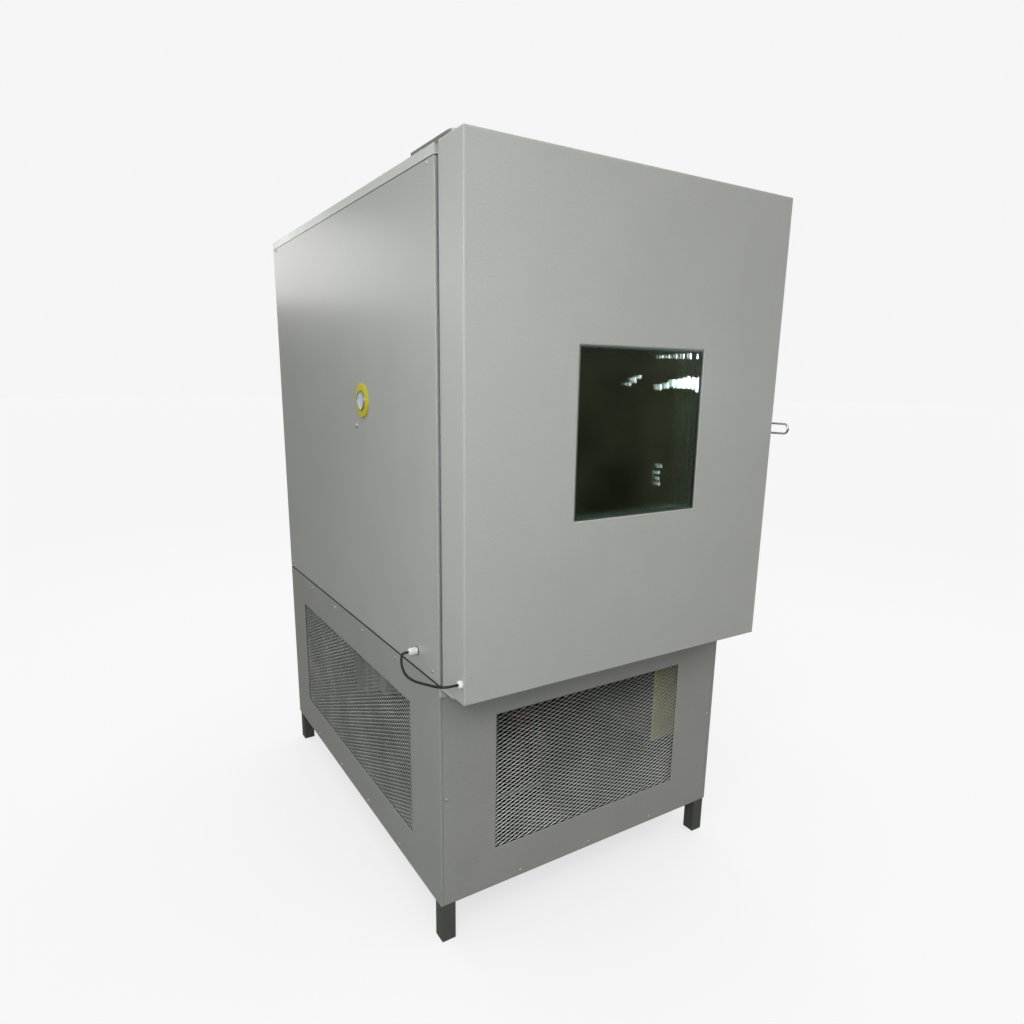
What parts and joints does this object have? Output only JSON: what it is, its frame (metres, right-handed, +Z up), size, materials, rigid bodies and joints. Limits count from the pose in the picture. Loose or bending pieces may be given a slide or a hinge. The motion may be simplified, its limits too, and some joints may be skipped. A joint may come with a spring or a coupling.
{
  "type": "environmental test chamber",
  "caption": "Floor-standing environmental test chamber with a windowed hinged door, insulated body, side cable port and a vented machine base on square tube legs.",
  "frame": {"origin": "centre of the four legs' rectangle, on the floor", "axes": "+Z up; the door faces -Y; +X is to the right when facing the door"},
  "size_m": [1.1004, 1.547, 1.992],
  "materials": {
    "frame_paint": "satin powder coat",
    "base_paint": "fine textured powder coat",
    "body_paint": "fine textured powder coat",
    "box_paint": "satin powder coat",
    "motor_paint": "satin enamel",
    "black_paint": "satin enamel",
    "mesh_metal": "mill finish expanded sheet",
    "zinc_steel": "zinc coated",
    "stainless": "fine brushed",
    "bright_steel": "machined",
    "screw_steel": "zinc coated",
    "chrome_rod": "polished",
    "aluminium_fins": "plain",
    "yellow_brass": "passivated yellow",
    "bronze": "sintered",
    "copper": "drawn copper",
    "surround_plastic": "moulded",
    "foam": "rigid foam",
    "white_plastic": "moulded nylon",
    "panel_plastic": "moulded",
    "switch_red": "moulded",
    "silicone": "smooth",
    "cable_rubber": "satin",
    "seal_rubber": "matt",
    "spacer_rubber": "matt",
    "window_glass": "clear, slightly green"
  },
  "bodies": {
    "cabinet": {"air_baffle": "stainless", "base_frame": "frame_paint", "base_panel_front": "base_paint", "base_panel_left": "base_paint", "base_panel_rear": "base_paint", "base_panel_right": "base_paint", "body_floor": "zinc_steel", "body_panel_left": "body_paint", "body_panel_rear": "body_paint", "body_panel_right": "body_paint", "compressor": "black_paint", "compressor_mounts": "seal_rubber", "condenser": "aluminium_fins", "condenser_motor": "motor_paint", "control_panel": "panel_plastic", "door_cable": "cable_rubber", "electrical_box": "box_paint", "evaporator": "aluminium_fins", "fan_motor": "motor_paint", "foot_plates": "zinc_steel", "front_surround": "surround_plastic", "heater": "bright_steel", "hinge_pins": "bright_steel", "hinge_plate_bottom": "bright_steel", "hinge_plate_top": "bright_steel", "hinge_screws": "screw_steel", "insulation": "foam", "latch_keeper": "stainless", "liner": "stainless", "machine_tray": "zinc_steel", "mains_gland": "white_plastic", "mesh_front": "mesh_metal", "mesh_left": "mesh_metal", "panel_screws": "screw_steel", "port_ring": "yellow_brass", "port_tube": "bright_steel", "receiver_and_pipes": "copper", "roof_panel": "body_paint", "shelf_rails": "stainless", "side_gland": "white_plastic"},
    "door": {"door_shell": "body_paint", "door_inner_skin": "stainless", "door_insulation": "foam", "window_sleeve": "stainless", "window_outer_pane": "window_glass", "window_inner_panes": "window_glass", "window_spacers": "spacer_rubber", "window_bead": "spacer_rubber", "door_seal": "seal_rubber", "hinge_bushes": "bronze", "latch_plate": "stainless", "latch_spindle": "bright_steel", "door_gland": "white_plastic"},
    "latch": {"latch_claw": "stainless", "latch_handle": "chrome_rod"},
    "plug": {"port_plug": "silicone"},
    "chamber_fan": {"circulation_fan": "aluminium_fins"},
    "cooling_fan": {"condenser_fan": "aluminium_fins"},
    "shelf": {"wire_shelf": "chrome_rod"},
    "switch": {"main_switch": "switch_red"}
  },
  "joints": [
    {"name": "door_hinge", "type": "hinge", "parent": "cabinet", "child": "door", "pos_m": [-0.472, -0.725, 1.3675], "axis": [0, 0, 1], "range_deg": [-105, 0], "deforming": ["door_cable"]},
    {"name": "latch_pivot", "type": "hinge", "parent": "door", "child": "latch", "pos_m": [0.512, -0.712, 1.3715], "axis": [1, 0, 0], "range_deg": [0, 85]},
    {"name": "plug_slide", "type": "slide", "parent": "cabinet", "child": "plug", "axis": [-1, 0, 0], "range_m": [0, 0.12]},
    {"name": "chamber_fan_spin", "type": "hinge", "parent": "cabinet", "child": "chamber_fan", "pos_m": [0, 0.5, 1.65], "axis": [0, 1, 0], "continuous": true},
    {"name": "cooling_fan_spin", "type": "hinge", "parent": "cabinet", "child": "cooling_fan", "pos_m": [0, 0.5, 0.357], "axis": [0, 1, 0], "continuous": true},
    {"name": "shelf_slide", "type": "slide", "parent": "cabinet", "child": "shelf", "axis": [0, -1, 0], "range_m": [0, 0.09]},
    {"name": "switch_turn", "type": "hinge", "parent": "cabinet", "child": "switch", "pos_m": [0.51, -0.5, 0.52], "axis": [1, 0, 0], "range_deg": [0, 90]}
  ]
}
